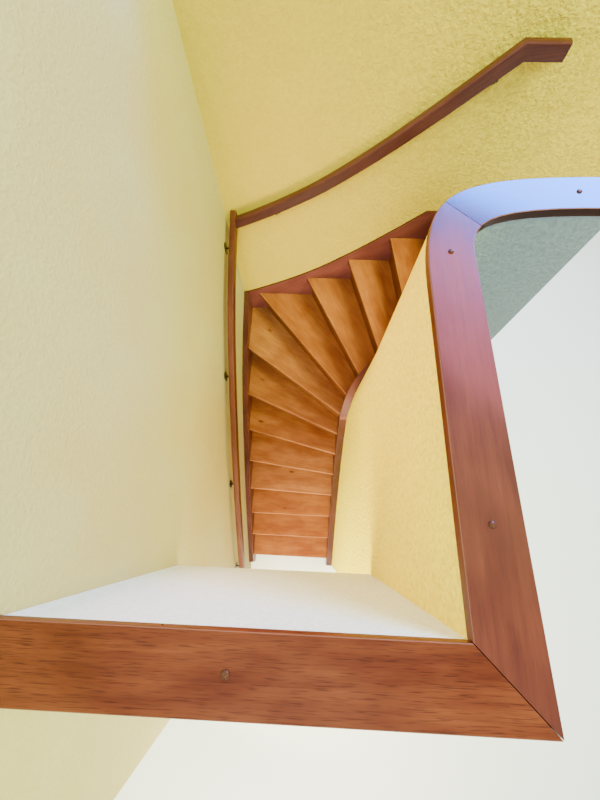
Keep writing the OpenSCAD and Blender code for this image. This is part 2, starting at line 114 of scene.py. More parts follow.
class Sketch:
    """The node tree of one material, with short calls that add and join its nodes."""

    def __init__(self, name: str) -> None:
        """Starts a material that holds a Principled shader and its output.

        Args:
            name: Name of the material.
        """
        self.material = bpy.data.materials.new(name)
        self.material.use_nodes = True
        self.tree = self.material.node_tree
        self.tree.nodes.clear()
        self.shader = self.add("ShaderNodeBsdfPrincipled")
        self.add("ShaderNodeOutputMaterial", {"Surface": self.shader.outputs["BSDF"]})

    def add(self, kind: str, inputs: Inputs | None = None, **settings: object) -> bpy.types.Node:
        """Adds a node.

        Args:
            kind: Name of the node's type.
            inputs: What its inputs take, by name or number.
            settings: Properties of the node, by name.

        Returns:
            The new node.
        """
        node = self.tree.nodes.new(kind)
        for name, value in settings.items():
            setattr(node, name, value)
        self.fill(node, inputs or {})
        return node

    def fill(self, node: bpy.types.Node, inputs: Inputs) -> None:
        """Joins the inputs of a node to other sockets, or sets them to plain values.

        Args:
            node: The node.
            inputs: What its inputs take, by name or number.
        """
        for name, value in inputs.items():
            if isinstance(value, Socket):
                self.tree.links.new(value, node.inputs[name])
            else:
                node.inputs[name].default_value = value

    def place(self, source: Coordinates, turn: Numbers = ZERO, centre: Numbers = ZERO) -> Socket:
        """Gives coordinates in metres that are turned and moved to a pattern's own frame.

        Args:
            source: Kind of coordinates to start from.
            turn: Turn of the pattern's frame in the object.
            centre: Place of the pattern's origin in the object.

        Returns:
            The vector socket of the placed coordinates.
        """
        start = self.add("ShaderNodeTexCoord").outputs[source.value]
        inputs = {"Vector": start, "Location": centre, "Rotation": turn}
        return self.add("ShaderNodeMapping", inputs, vector_type="TEXTURE").outputs["Vector"]

    def stretch(self, vector: Socket, size: Numbers) -> Socket:
        """Divides coordinates by the size of a feature, in metres along each axis."""
        inputs = {"Vector": vector, "Scale": [1.0 / length for length in size]}
        return self.add("ShaderNodeMapping", inputs, vector_type="POINT").outputs["Vector"]

    def noise(self, vector: Socket, detail: float, rough: float = 0.5, warp: float = 0.0) -> Socket:
        """Adds noise with features about one unit wide.

        Args:
            vector: Coordinates in units of the feature's size.
            detail: Number of finer layers.
            rough: Strength of the finer layers.
            warp: Distortion of the pattern.

        Returns:
            The socket that gives the noise from 0 to 1.
        """
        inputs = {"Vector": vector, "Scale": 1.0, "Detail": detail, "Roughness": rough, "Distortion": warp}
        return self.add("ShaderNodeTexNoise", inputs).outputs["Fac"]

    def spread(self, value: Socket, source: Range, target: Range = (0.0, 1.0)) -> Socket:
        """Maps one range of a number to another, and clamps it.

        Args:
            value: Socket with the number.
            source: The two ends of the range that is taken in.
            target: What the two ends become.

        Returns:
            The mapped number's socket.
        """
        ends = dict(zip(("From Min", "From Max", "To Min", "To Max"), (*source, *target)))
        return self.add("ShaderNodeMapRange", {"Value": value, **ends}, clamp=True).outputs["Result"]

    def maths(self, kind: str, first: Value, second: Value = 0.0) -> Socket:
        """Works out a number from one or two others with a Math node of one kind, such as MULTIPLY."""
        return self.add("ShaderNodeMath", {0: first, 1: second}, operation=kind).outputs["Value"]

    def ramp(self, value: Socket, stops: Sequence[tuple[float, Colour]]) -> Socket:
        """Colours a value.

        Args:
            value: Socket with a number from 0 to 1.
            stops: Places on the ramp with their colours, in rising order.

        Returns:
            The colour socket.
        """
        node = self.add("ShaderNodeValToRGB", {"Fac": value})
        elements = node.color_ramp.elements
        while len(elements) < len(stops):
            elements.new(0.5)
        for element, (place, colour) in zip(elements, stops):
            element.position = place
            element.color = (*colour, 1.0)
        return node.outputs["Color"]

    def mix(self, kind: str, share: Value, first: Value, second: Value) -> Socket:
        """Mixes two colours.

        Args:
            kind: Blend type, such as MULTIPLY.
            share: Share of the second colour, a number or a socket.
            first: Colour socket, or a plain colour.
            second: Colour socket, or a plain colour.

        Returns:
            The mixed colour's socket.
        """
        first, second = (tint if isinstance(tint, Socket) else (*tint, 1.0) for tint in (first, second))
        node = self.add("ShaderNodeMix", data_type="RGBA", blend_type=kind, clamp_result=True)
        self.fill(node, {0: share, 6: first, 7: second})
        return node.outputs[2]

    def colour_of(self, *parts: Socket) -> Socket:
        """Makes a colour of the sockets of its red, green and blue."""
        return self.add("ShaderNodeCombineColor", dict(enumerate(parts))).outputs["Color"]

    def grey(self, value: Socket) -> Socket:
        """Makes a grey colour of a number."""
        return self.colour_of(value, value, value)

    def axes(self, vector: Socket) -> bpy.types.NodeOutputs:
        """Splits a vector into three sockets, which are named X, Y and Z."""
        return self.add("ShaderNodeSeparateXYZ", {"Vector": vector}).outputs

    def normal(self) -> Socket:
        """Gives the surface's normal in the scene's axes."""
        return self.add("ShaderNodeNewGeometry").outputs["Normal"]

    def bump(self, height: Socket, strength: float, depth: float) -> Socket:
        """Adds a bump to the normal, whose depth is the height of its relief in metres."""
        inputs = {"Height": height, "Strength": strength, "Distance": depth}
        return self.add("ShaderNodeBump", inputs).outputs["Normal"]


# Finishes

# A name that ends in EDGE is the range of a number over which a feature fades in
# Sizes of the wood's features are in metres, with the grain and across it
PORE_SIZE = (0.040, 0.0018)
PORE_EDGE = (0.54, 0.68)
PORE_BUMP = 0.25
PORE_DEPTH = 0.0008
KNOT_SPACING = (0.50, 0.20)
KNOT_REACH = (0.0, 0.45)
KNOT_HEART = (0.02, 0.07)
STREAK_LENGTH = 0.20
STREAK_EDGE = (0.35, 0.75)
# The rings' wander is this many rings wide, and bends move the rings' wave by so many radians
WANDER_WIDTH = 5.0
WANDER_BEND = 16.0
KNOT_BEND = 14.0
RING_LEAN = 0.6
RING_EDGE = (-0.4, 1.0)
# A patch is this many times as long as it is wide, and shifts the red less than the rest
PATCH_LENGTH = 2.5
PATCH_EDGE = (0.32, 0.68)
PATCH_RED = (-1.0, 0.5)
PATCH_REST = (-1.5, 0.6)
# The middle stop of the wood's ramp has this place, and this share of the deep colour
MIDDLE_TONE = (0.55, 0.45)
LEVEL_EDGE = (0.2, 0.6)
ARRIS_FADE = 0.22
UPRIGHT_COAT = 0.15
ROUGH_EDGE = (0.3, 0.7)
WOOD_ROUGH = (-0.05, 0.08)
# A seed moves the pattern's origin by two waves and a climb
SEED_WAVES = (3.1, 1.7)
SEED_REACH = 2.0
SEED_RISE = 0.37


def along_grain(length: float, width: float) -> Triple:
    """Gives the size of a feature that is long with the grain, along X, and narrow across it."""
    return (length, width, width)


@dataclass(frozen=True)
class WoodFinish:
    """Lacquered wood with growth rings, pores and patches of tone, all sizes in metres.

    Attributes:
        name: Name of the finish.
        pale: Colour of the early wood.
        deep: Colour of the late wood.
        pore: Colour of the pores and of the heart of a knot.
        ring: Width of one growth ring on a board's face.
        ring_run: Length over which a ring wanders.
        ring_share: Strength of the rings.
        streak: Width of a long streak.
        streak_share: Strength of the long streaks.
        pores: Strength of the pores.
        knots: Strength of the knots, round which the rings bend.
        patch_size: Width of a patch of tone.
        patch: Strength of the patches of tone.
        roughness: Roughness of the wood under the lacquer.
        gloss: Strength of the reflection of the wood itself.
        coat: Weight of the lacquer on level faces, which is much thinner on upright ones.
        coat_roughness: Roughness of the lacquer.
        upright: Painted light and shade: brightness of the upright faces against the level ones, for how the
            light falls on them.
        wear_and_highlight: Share of the pale arris colour on eased edges, partly wear and partly a painted
            highlight.
        wear_and_highlight_rise: Height of the normal, from 0 to 1, in the middle of an eased edge.
        wear_and_highlight_reach: How far round a rounded edge the arris colour reaches, from 0 to 0.5.
        wear_and_highlight_colour: Colour of a worn arris, lightened as a painted highlight.
    """

    name: str
    pale: Colour
    deep: Colour
    pore: Colour
    ring: float = 0.016
    ring_run: float = 0.42
    ring_share: float = 0.4
    streak: float = 0.012
    streak_share: float = 0.5
    pores: float = 0.5
    knots: float = 0.0
    patch_size: float = 0.09
    patch: float = 0.3
    roughness: float = 0.42
    gloss: float = 0.25
    coat: float = 0.2
    coat_roughness: float = 0.14
    upright: float = 1.0
    wear_and_highlight: float = 0.25
    wear_and_highlight_rise: float = 0.66
    wear_and_highlight_reach: float = 0.12
    wear_and_highlight_colour: Colour = (0.75, 0.50, 0.28)

    def make(
        self, suffix: str, along: Vector, seed: float, source: Coordinates = Coordinates.OBJECT
    ) -> Material:
        """Makes the finish for one board.

        Args:
            suffix: Name of the board.
            along: Direction of the grain.
            seed: Number that moves the pattern, so that no two boards are alike.
            source: Kind of coordinates that the pattern follows.

        Returns:
            The material.
        """
        tree = Sketch(f"{self.name}_{suffix}")
        turn = along.to_track_quat("X", "Z").to_euler()
        board = tree.place(source, turn, self.centre(seed))
        pores = tree.noise(tree.stretch(board, along_grain(*PORE_SIZE)), detail=1.0)
        patch = along_grain(self.patch_size * PATCH_LENGTH, self.patch_size)
        patches = tree.noise(tree.stretch(board, patch), detail=2.0)
        rise = tree.maths("ABSOLUTE", tree.axes(tree.normal())["Z"])

        colour = self.timber(tree, board, pores)
        colour = tree.mix("MULTIPLY", 1.0, colour, self.tone(tree, patches))
        # Painted light and shade: upright faces are made darker or lighter than level ones, for how the
        # light falls on each.
        light = tree.spread(rise, LEVEL_EDGE, (self.upright, 1.0))
        colour = tree.mix("MULTIPLY", 1.0, colour, tree.grey(light))
        # Painted highlight, partly wear: eased edges take the pale arris colour.
        worn = tree.maths("MULTIPLY", self.arris(tree, rise), self.wear_and_highlight)
        colour = tree.mix("MIX", worn, colour, self.wear_and_highlight_colour)
        roughness = tree.spread(patches, ROUGH_EDGE, [self.roughness + shift for shift in WOOD_ROUGH])
        tree.fill(tree.shader, {
            "Base Color": colour,
            "Roughness": roughness,
            "Specular IOR Level": self.gloss,
            "Coat Weight": tree.spread(rise, LEVEL_EDGE, (self.coat * UPRIGHT_COAT, self.coat)),
            "Coat Roughness": self.coat_roughness,
            "Normal": tree.bump(pores, PORE_BUMP, PORE_DEPTH),
        })
        return tree.material

    @staticmethod
    def centre(seed: float) -> Vector:
        """Gives the place of the pattern's origin, which differs from board to board."""
        sine, cosine = math.sin(seed * SEED_WAVES[0]), math.cos(seed * SEED_WAVES[1])
        return Vector((sine * SEED_REACH, cosine * SEED_REACH, seed * SEED_RISE))

    def timber(self, tree: Sketch, board: Socket, pores: Socket) -> Socket:
        """Colours the bare wood.

        Args:
            tree: The material's node tree.
            board: Coordinates with X along the grain.
            pores: Noise of the pores.

        Returns:
            The colour socket of the rings, streaks, pores and knots.
        """
        figure, heart = self.figure(tree, board)
        place, share = MIDDLE_TONE
        colour = tree.ramp(figure, [(0.0, self.pale), (place, self.between(share)), (1.0, self.deep)])
        colour = tree.mix("MIX", tree.spread(pores, PORE_EDGE, (0.0, self.pores)), colour, self.pore)
        return tree.mix("MIX", heart, colour, self.pore)

    def figure(self, tree: Sketch, board: Socket) -> tuple[Socket, Socket]:
        """Lays growth rings, long streaks and knots over a board.

        Args:
            tree: The material's node tree.
            board: Coordinates with X along the grain.

        Returns:
            The sockets of the figure, from 0 for early wood to 1 for late wood, and of the knots' hearts.
        """
        spacing = tree.stretch(board, along_grain(*KNOT_SPACING))
        distance = tree.add("ShaderNodeTexVoronoi", {"Vector": spacing, "Scale": 1.0}).outputs["Distance"]
        near = tree.spread(distance, KNOT_REACH, (self.knots, 0.0))
        heart = tree.spread(distance, KNOT_HEART, (self.knots, 0.0))

        wander = tree.stretch(board, along_grain(self.ring_run, self.ring * WANDER_WIDTH))
        wander = tree.noise(wander, detail=1.0, warp=0.3)
        axes = tree.axes(board)
        across = tree.maths("ADD", axes["Y"], tree.maths("MULTIPLY", axes["Z"], RING_LEAN))
        phase = tree.maths("MULTIPLY", across, 2.0 * math.pi / self.ring)
        phase = tree.maths("ADD", phase, tree.maths("MULTIPLY", wander, WANDER_BEND))
        phase = tree.maths("ADD", phase, tree.maths("MULTIPLY", near, KNOT_BEND))
        ring = tree.spread(tree.maths("SINE", phase), RING_EDGE, (0.0, self.ring_share))
        streak = tree.stretch(board, along_grain(STREAK_LENGTH, self.streak))
        streak = tree.noise(streak, detail=3.0, rough=0.6)
        return tree.maths("ADD", ring, tree.spread(streak, STREAK_EDGE, (0.0, self.streak_share))), heart

    def tone(self, tree: Sketch, patches: Socket) -> Socket:
        """Gives the colour by which patches darken and redden the wood.

        Args:
            tree: The material's node tree.
            patches: Noise of the patches.

        Returns:
            The colour socket.
        """
        red, rest = (
            tree.spread(patches, PATCH_EDGE, [1.0 + self.patch * shift for shift in shifts])
            for shifts in (PATCH_RED, PATCH_REST)
        )
        return tree.colour_of(red, rest, rest)

    def arris(self, tree: Sketch, rise: Socket) -> Socket:
        """Finds where the surface lies aslant, as an eased edge does.

        Args:
            tree: The material's node tree.
            rise: Socket of the normal's height, 1 on level faces and 0 on upright ones.

        Returns:
            The socket of a share, 1 on an eased edge and 0 on the faces beside it.
        """
        off = tree.maths("ABSOLUTE", tree.maths("SUBTRACT", rise, self.wear_and_highlight_rise))
        return tree.spread(off, (self.wear_and_highlight_reach, self.wear_and_highlight_reach + ARRIS_FADE), (1.0, 0.0))

    def between(self, share: float) -> Colour:
        """Gives a colour between pale and deep."""
        return tuple(pale + (deep - pale) * share for pale, deep in zip(self.pale, self.deep))


CLOUD_SIZE = 0.55
CLOUD_EDGE = (0.35, 0.65)
ROOM_EDGE = (0.1, 0.3)
WEAK_STIPPLE = 0.3
HOLLOW_EDGE = (0.30, 0.62)
CREST_LIGHT = 1.03
STIPPLE_BUMP = 0.9


@dataclass(frozen=True)
class PlasterFinish:
    """Emulsion on plaster with a trowelled unevenness and a stipple.

    Attributes:
        name: Name of the finish.
        paint: Main colour.
        shade: Colour of the less well covered places.
        room: Colour on the faces that look into the room over the stairs: their pale grey paint, darkened as
            painted shade.
        stipple: Size of the stipple in metres.
        relief: Height of the stipple in metres.
        hollow: Painted shade: how much darker the stipple's hollows are.
        rough_from: Place along X at which the stipple is weakest.
        rough_to: Place along X at which the stipple is full.
        roughness: Roughness of the paint.
        gloss: Strength of the paint's reflection.
    """

    name: str
    paint: Colour
    shade: Colour
    room: Colour | None = None
    stipple: float = 0.012
    relief: float = 0.0022
    hollow: float = 0.07
    rough_from: float = -3.0
    rough_to: float = -2.0
    roughness: float = 0.75
    gloss: float = 0.2

    def make(self, suffix: str) -> Material:
        """Makes the finish for one wall.

        Args:
            suffix: Name of the wall.

        Returns:
            The material.
        """
        tree = Sketch(f"{self.name}_{suffix}")
        wall = tree.place(Coordinates.OBJECT)
        grit = tree.noise(tree.stretch(wall, (self.stipple,) * 3), detail=2.0, warp=0.6)
        strength = tree.spread(tree.axes(wall)["X"], (self.rough_from, self.rough_to), (WEAK_STIPPLE, 1.0))
        height = tree.maths("MULTIPLY", grit, strength)
        # Painted shade in the stipple's hollows and painted light on its crests, both following the bump's
        # noise.
        depth = tree.maths("ADD", tree.maths("MULTIPLY", tree.maths("SUBTRACT", grit, 0.5), strength), 0.5)
        shadow = tree.grey(tree.spread(depth, HOLLOW_EDGE, (1.0 - self.hollow, CREST_LIGHT)))
        tree.fill(tree.shader, {
            "Base Color": tree.mix("MULTIPLY", 1.0, self.coats(tree, wall), shadow),
            "Roughness": self.roughness,
            "Specular IOR Level": self.gloss,
            "Normal": tree.bump(height, STIPPLE_BUMP, self.relief),
        })
        return tree.material

    def coats(self, tree: Sketch, wall: Socket) -> Socket:
        """Lays the uneven paint over a wall, and on its outward faces the room side's colour, darkened as
        painted shade.

        Args:
            tree: The material's node tree.
            wall: Coordinates in metres.

        Returns:
            The colour socket.
        """
        cloud = tree.noise(tree.stretch(wall, (CLOUD_SIZE,) * 3), detail=3.0, rough=0.55)
        colour = tree.mix("MIX", tree.spread(cloud, CLOUD_EDGE), self.paint, self.shade)
        if self.room is None:
            return colour
        axes = tree.axes(tree.normal())
        outwards = tree.maths("SUBTRACT", axes["X"], axes["Y"])
        # Painted shade: faces that look out into the room take the darker room colour.
        return tree.mix("MIX", tree.spread(outwards, ROOM_EDGE), colour, self.room)


SPOT_SIZE = 0.004
SPOT_EDGE = (0.5, 0.75)
SPOT_SHARE = 0.6
SPOT_BUMP = 0.15
SPOT_DEPTH = 0.0003
METAL_ROUGH = (-0.08, 0.12)


@dataclass(frozen=True)
class MetalFinish:
    """Painted or bare metal with small unevenness.

    Attributes:
        name: Name of the finish.
        colour: Main colour.
        worn: Colour of the worn spots.
        metallic: How much it reflects as bare metal does.
        roughness: Mean roughness.
    """

    name: str
    colour: Colour
    worn: Colour
    metallic: float
    roughness: float

    def make(self, suffix: str) -> Material:
        """Makes the finish for one piece.

        Args:
            suffix: Name of the piece.

        Returns:
            The material.
        """
        tree = Sketch(f"{self.name}_{suffix}")
        metal = tree.place(Coordinates.OBJECT)
        spots = tree.noise(tree.stretch(metal, (SPOT_SIZE,) * 3), detail=3.0, rough=0.6)
        colour = tree.mix("MIX", tree.spread(spots, SPOT_EDGE, (0.0, SPOT_SHARE)), self.colour, self.worn)
        tree.fill(tree.shader, {
            "Base Color": colour,
            "Roughness": tree.spread(spots, ROUGH_EDGE, [self.roughness + shift for shift in METAL_ROUGH]),
            "Metallic": self.metallic,
            "Normal": tree.bump(spots, SPOT_BUMP, SPOT_DEPTH),
        })
        return tree.material


# The upright values are painted light and shade: the treads' nosing fronts darker, and the upright faces of
# the strings and of the front and side capping boards lighter.
AMBER_TREAD = WoodFinish(
    "amber_lacquer", (0.270, 0.102, 0.0310), (0.150, 0.0420, 0.0125), (0.060, 0.0120, 0.0032),
    ring=0.040, ring_share=0.18, streak_share=0.26, pores=0.26, knots=0.9, patch=0.26, gloss=0.15,
    coat=0.08, upright=0.42, wear_and_highlight=0.35, wear_and_highlight_reach=0.1, wear_and_highlight_colour=(0.34, 0.15, 0.060),
)
REDDER_TREAD = replace(AMBER_TREAD, pale=(0.232, 0.077, 0.0190), deep=(0.129, 0.0310, 0.0078))
# The strings' arris colour is a painted highlight along their upper edges.
STRING_WOOD = WoodFinish(
    "mahogany_lacquer", (0.053, 0.0125, 0.0100), (0.028, 0.0059, 0.0055), (0.013, 0.0035, 0.003),
    ring=0.018, coat=0.45, upright=1.8,
    wear_and_highlight=0.5, wear_and_highlight_rise=0.22, wear_and_highlight_reach=0.05, wear_and_highlight_colour=(0.26, 0.10, 0.085),
)
RAIL_WOOD = WoodFinish(
    "brown_lacquer", (0.072, 0.0190, 0.0112), (0.038, 0.0085, 0.0057), (0.019, 0.0030, 0.0035),
    ring=0.014, coat=0.25, wear_and_highlight=0.15, wear_and_highlight_colour=(0.11, 0.04, 0.025),
)
DARK_RAIL_WOOD = replace(RAIL_WOOD, pale=(0.049, 0.0130, 0.0100), deep=(0.025, 0.0058, 0.0052))
CAPPING_WOOD = WoodFinish(
    "red_brown_lacquer", (0.075, 0.0172, 0.0052), (0.039, 0.0063, 0.0022), (0.016, 0.0026, 0.0017),
    ring=0.030, ring_run=0.55, ring_share=0.25, streak=0.006, streak_share=0.60, pores=0.65,
    patch_size=0.06, patch=0.28, gloss=0.15, coat=0.2, coat_roughness=0.15, upright=2.2,
    wear_and_highlight=0.5, wear_and_highlight_colour=(0.21, 0.09, 0.07),
)
# Painted light and shade: the side board is a slightly darker copy of the front board's wood and the return
# board a much darker one, to match how the light falls on each.
SIDE_CAPPING_WOOD = replace(
    CAPPING_WOOD, pale=(0.059, 0.0112, 0.0040), deep=(0.036, 0.0049, 0.0022),
    pores=0.35, gloss=0.25, coat=0.7, upright=2.0,
)
RETURN_CAPPING_WOOD = replace(
    CAPPING_WOOD, pale=(0.036, 0.0095, 0.0060), deep=(0.021, 0.0040, 0.0030),
    pores=0.3, gloss=0.03, coat=1.0, upright=0.45,
)
# The left and inner walls have the same yellow paint; the left wall's darker, cooler colour is painted
# shade, and the inner wall's brighter colour is painted light.
LEFT_PLASTER = PlasterFinish("plaster_painted_shade", (0.349, 0.315, 0.180), (0.352, 0.290, 0.130), hollow=0.04)
FAR_PLASTER = PlasterFinish(
    "yellow_plaster", (0.427, 0.321, 0.026), (0.406, 0.300, 0.0215),
    stipple=0.014, relief=0.008, hollow=0.24, rough_from=-0.5, rough_to=0.4,
)
INNER_PLASTER = PlasterFinish(
    "plaster_painted_light", (0.885, 0.775, 0.018), (0.865, 0.740, 0.014),
    room=(0.125, 0.157, 0.179), stipple=0.014, relief=0.006, hollow=0.17,
)
NEAR_PLASTER = PlasterFinish("white_plaster", (0.83, 0.94, 0.83), (0.80, 0.92, 0.80), relief=0.004)
BLACK_IRON = MetalFinish("black_iron", (0.012, 0.010, 0.009), (0.04, 0.03, 0.025), 0.4, 0.45)
BRONZED_METAL = MetalFinish("bronzed_screw", (0.055, 0.018, 0.010), (0.028, 0.010, 0.007), 0.3, 0.22)


# Helpers for the meshes

WELD_REACH = 0.00002
FLAT_DEGREES = 0.3


def deselect() -> None:
    """Leaves edit mode and deselects every object."""
    if bpy.context.object and bpy.context.object.mode != "OBJECT":
        bpy.ops.object.mode_set(mode="OBJECT")
    for thing in bpy.context.view_layer.objects:
        thing.select_set(False)


def pick(piece: Object) -> None:
    """Makes a piece the only selected object and the active one.

    Args:
        piece: The piece.
    """
    deselect()
    piece.select_set(True)
    bpy.context.view_layer.objects.active = piece


def dress(thing: Object, material: Material) -> None:
    """Makes a material the only one of an object."""
    thing.data.materials.clear()
    thing.data.materials.append(material)


def finish_piece(piece: Object, slot: Slot, material: Material) -> None:
    """Gives a piece its material, logs the slot of the record that it takes its finish from, and lets it
    ride on the stair's one body.

    Args:
        piece: The piece.
        slot: Material slot of the record that it takes its finish from.
        material: Its material.
    """
    dress(piece, material)
    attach(piece, BODY)
    LOG.info("%s: %d faces, %s", piece.name, len(piece.data.polygons), slot.value)


def dress_node(name: str, material: Material) -> None:
    """Gives a CAD node that keeps its own mesh its material."""
    dress(frame["nodes"][name], material)
    LOG.info("%s: dressed as it is", name)


def weld(piece: Object) -> None:
    """Merges the corners of a piece that lie in one place, and stays in edit mode.

    Args:
        piece: The piece.
    """
    pick(piece)
    bpy.ops.object.mode_set(mode="EDIT")
    bpy.ops.mesh.select_all(action="SELECT")
    bpy.ops.mesh.remove_doubles(threshold=WELD_REACH)


def copy_nodes(name: str, nodes: Sequence[str]) -> Object:
    """Copies nodes into one new piece and closes the loose triangles to a skin.

    Args:
        name: Name of the piece.
        nodes: Names of the nodes that it stands for.

    Returns:
        The piece, with its doubles merged and its flat faces whole.
    """
    copies = []
    for node in nodes:
        copy = bpy.data.objects.new(name, frame["nodes"][node].data.copy())
        bpy.context.scene.collection.objects.link(copy)
        weld(copy)
        bpy.ops.mesh.customdata_custom_splitnormals_clear()
        bpy.ops.mesh.dissolve_limited(angle_limit=math.radians(FLAT_DEGREES))
        bpy.ops.object.mode_set(mode="OBJECT")
        copies.append(copy)
    for copy in copies:
        copy.select_set(True)
    if len(copies) > 1:
        bpy.ops.object.join()
    piece = bpy.context.object
    piece.name = name
    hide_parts(*nodes)
    return piece


def select_faces(piece: Object, wanted: Callable[[Face], bool]) -> None:
    """Selects the faces of a piece in edit mode that pass a test, and no others.

    Args:
        piece: The piece.
        wanted: Test of a face.
    """
    bpy.ops.mesh.select_mode(type="FACE")
    bpy.ops.mesh.select_all(action="DESELECT")
    for face in bmesh.from_edit_mesh(piece.data).faces:
        if wanted(face):
            face.select_set(True)
    bmesh.update_edit_mesh(piece.data)


def ease_edges(piece: Object, width: float, wanted: Callable[[Edge], bool], segments: int = 3) -> None:
    """Rounds the edges of a piece that a test picks.

    Args:
        piece: The piece.
        width: Width of the rounding in metres.
        wanted: Test of an edge.
        segments: Number of faces across the rounding.
    """
    pick(piece)
    bpy.ops.object.mode_set(mode="EDIT")
    bpy.ops.mesh.select_mode(type="EDGE")
    bpy.ops.mesh.select_all(action="DESELECT")
    for edge in bmesh.from_edit_mesh(piece.data).edges:
        edge.select_set(len(edge.link_faces) == 2 and wanted(edge))
    bmesh.update_edit_mesh(piece.data)
    bpy.ops.mesh.bevel(offset=width, segments=segments, profile=0.5, affect="EDGES", clamp_overlap=True)
    bpy.ops.object.mode_set(mode="OBJECT")


def smooth(piece: Object, degrees: float = 32.0) -> None:
    """Shades a piece smooth, and keeps its broad flat faces flat.

    Args:
        piece: The piece.
        degrees: Angle over which an edge stays a crease.
    """
    pick(piece)
    bpy.ops.object.shade_smooth_by_angle(angle=math.radians(degrees))
    bpy.ops.object.modifier_add(type="WEIGHTED_NORMAL")
    weighted = piece.modifiers[-1]
    weighted.keep_sharp = True
    bpy.ops.object.modifier_apply(modifier=weighted.name)


def sharp(edge: Edge, degrees: float = 40.0) -> bool:
    """Tells whether an edge turns by more than an angle outwards."""
    return edge.is_convex and edge.calc_face_angle(0.0) > math.radians(degrees)


def corners_of(mesh: bpy.types.Mesh) -> np.ndarray:
    """Lists the corners of a mesh, one in each row."""
    return np.array([tuple(vertex.co) for vertex in mesh.vertices])


def board_direction(name: str) -> Vector:
    """Finds the level direction in which a riser runs.

    Args:
        name: Name of the riser's node.

    Returns:
        The direction, which is that of the widest spread of its corners.
    """
    points = corners_of(frame["nodes"][name].data)[:, :2]
    points = points - points.mean(axis=0)
    axis = np.linalg.svd(points, full_matrices=False)[2][0]
    return Vector((float(axis[0]), float(axis[1]), 0.0))


# Sub-assemblies


@dataclass(frozen=True)
class Seeds:
    """Numbers that set the patterns of a row of boards apart.

    Attributes:
        step: Difference between the seeds of neighbours.
        start: Seed of board 0.
    """

    step: float
    start: float = 0.0

    def of(self, number: int) -> float:
        """Gives the seed of one board."""
        return number * self.step + self.start


@dataclass(frozen=True)
class Board:
    """One board of a sub-assembly.

    Attributes:
        name: Name of its node.
        grain: Direction of its grain.
        finish: Its finish.
    """

    name: str
    grain: Triple
    finish: WoodFinish


@dataclass
class Walls:
    """Plastered walls of the stairwell, with the inner wall's rounded corner in one skin.

    Attributes:
        sides: Names of the straight walls, with their plasters.
        corner: Names of the nodes that make up the rounded corner.
        crease: Angle over which an edge of the corner stays sharp.
    """

    sides: tuple[tuple[str, PlasterFinish], ...] = (
        ("left", LEFT_PLASTER), ("far", FAR_PLASTER), ("near", NEAR_PLASTER), ("inner", INNER_PLASTER),
    )
    corner: tuple[str, ...] = ("inner_wall_corner", "corner_side", "corner_turn", "corner_return")
    crease: float = 25.0

    def build(self) -> None:
        """Dresses the walls."""
        for side, plaster in self.sides:
            dress_node(f"{side}_wall", plaster.make(side))
        piece = copy_nodes("inner_wall_round_corner", self.corner)
        self.open_joints(piece)
        smooth(piece, self.crease)
        finish_piece(piece, Slot.YELLOW_PLASTER, INNER_PLASTER.make("corner"))

    @staticmethod
    def open_joints(piece: Object) -> None:
        """Deletes the faces on which the segments touch, whose edges all carry other faces too.

        Args:
            piece: The joined corner.
        """
        weld(piece)
        select_faces(piece, lambda face: all(len(edge.link_faces) > 2 for edge in face.edges))
        bpy.ops.mesh.delete(type="FACE")
        bpy.ops.object.mode_set(mode="OBJECT")


@dataclass
class Steps:
    """Winder treads, the landing's nosing board and the risers, each board with its own grain.

    Attributes:
        treads: Number of treads.
        risers: Number of risers, one more than the treads.
        amber: Numbers of the steps that take the paler colour; the others take a darker, redder one.
        crease: Angle over which a tread's edge stays sharp.
        tread_seeds: Seeds of the treads' patterns.
        riser_seeds: Seeds of the risers' patterns.
    """

    treads: int = 12
    risers: int = 13
    amber: range = range(4, 9)
    crease: float = 40.0
    tread_seeds: Seeds = Seeds(0.73)
    riser_seeds: Seeds = Seeds(1.31, 0.4)

    def build(self) -> None:
        """Dresses every board."""
        for number in range(1, self.risers + 1):
            riser = f"riser_{number:02d}"
            along = board_direction(riser)
            dress_node(riser, self.finish(number).make(riser, along, self.riser_seeds.of(number)))
            self.tread(f"tread_{number:02d}" if number <= self.treads else "landing_nosing", along, number)

    def finish(self, number: int) -> WoodFinish:
        """Gives the boards of the turn the paler colour and the others the darker, redder one."""
        return AMBER_TREAD if number in self.amber else REDDER_TREAD

    def tread(self, name: str, along: Vector, number: int) -> None:
        """Copies one tread, smooths its rounded nosing and dresses it.

        Args:
            name: Name of its node.
            along: Direction of its grain.
            number: Number of its step.
        """
        piece = copy_nodes(f"{name}_board", [name])
        smooth(piece, self.crease)
        material = self.finish(number).make(name, along, self.tread_seeds.of(number))
        finish_piece(piece, Slot.TREAD_WOOD, material)


